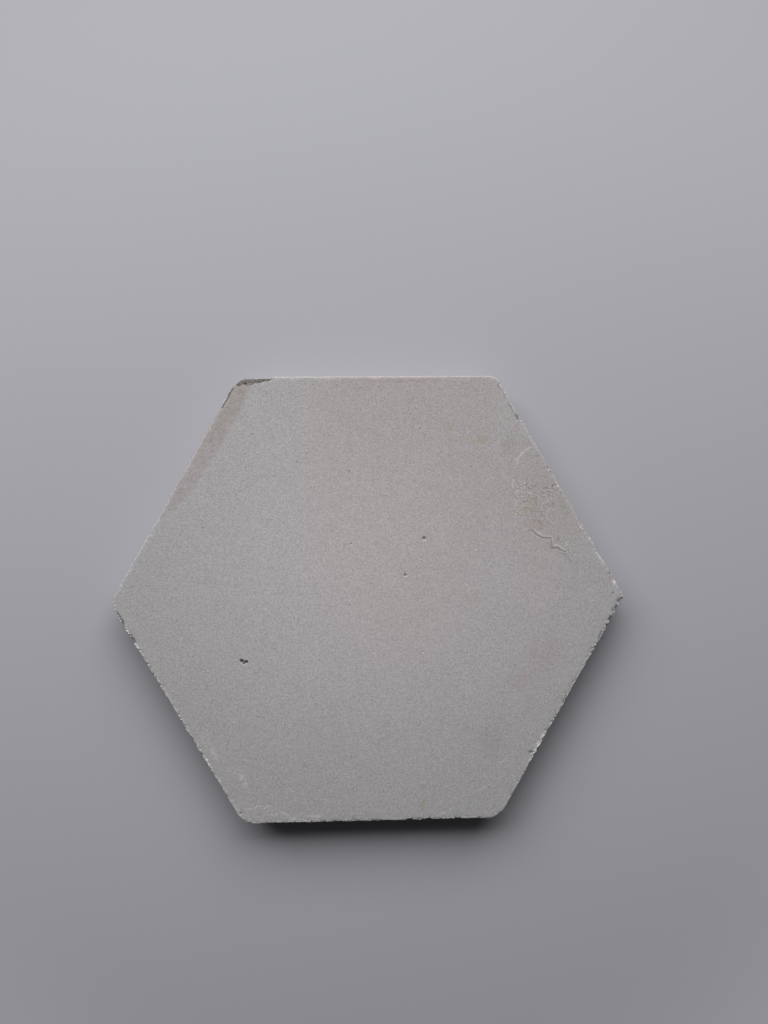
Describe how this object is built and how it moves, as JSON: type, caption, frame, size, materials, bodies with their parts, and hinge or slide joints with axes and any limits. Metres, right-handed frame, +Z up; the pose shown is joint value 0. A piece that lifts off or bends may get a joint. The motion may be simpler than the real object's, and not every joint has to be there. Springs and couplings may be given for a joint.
{
  "type": "hexagon floor tile",
  "caption": "Flat hexagonal floor tile of plain grey pressed cement, with worn edges and a broken corner, laid side to side with its own kind on a mortar bed.",
  "frame": {"origin": "middle of the back, which beds on the floor", "axes": "+Z up through the wear face, +X to the east corner, +Y to the middle of the north side"},
  "size_m": [0.2293, 0.2, 0.016],
  "materials": {
    "cement": "matte"
  },
  "bodies": {
    "root": {"hexagon_tile": "cement"}
  },
  "joints": []
}
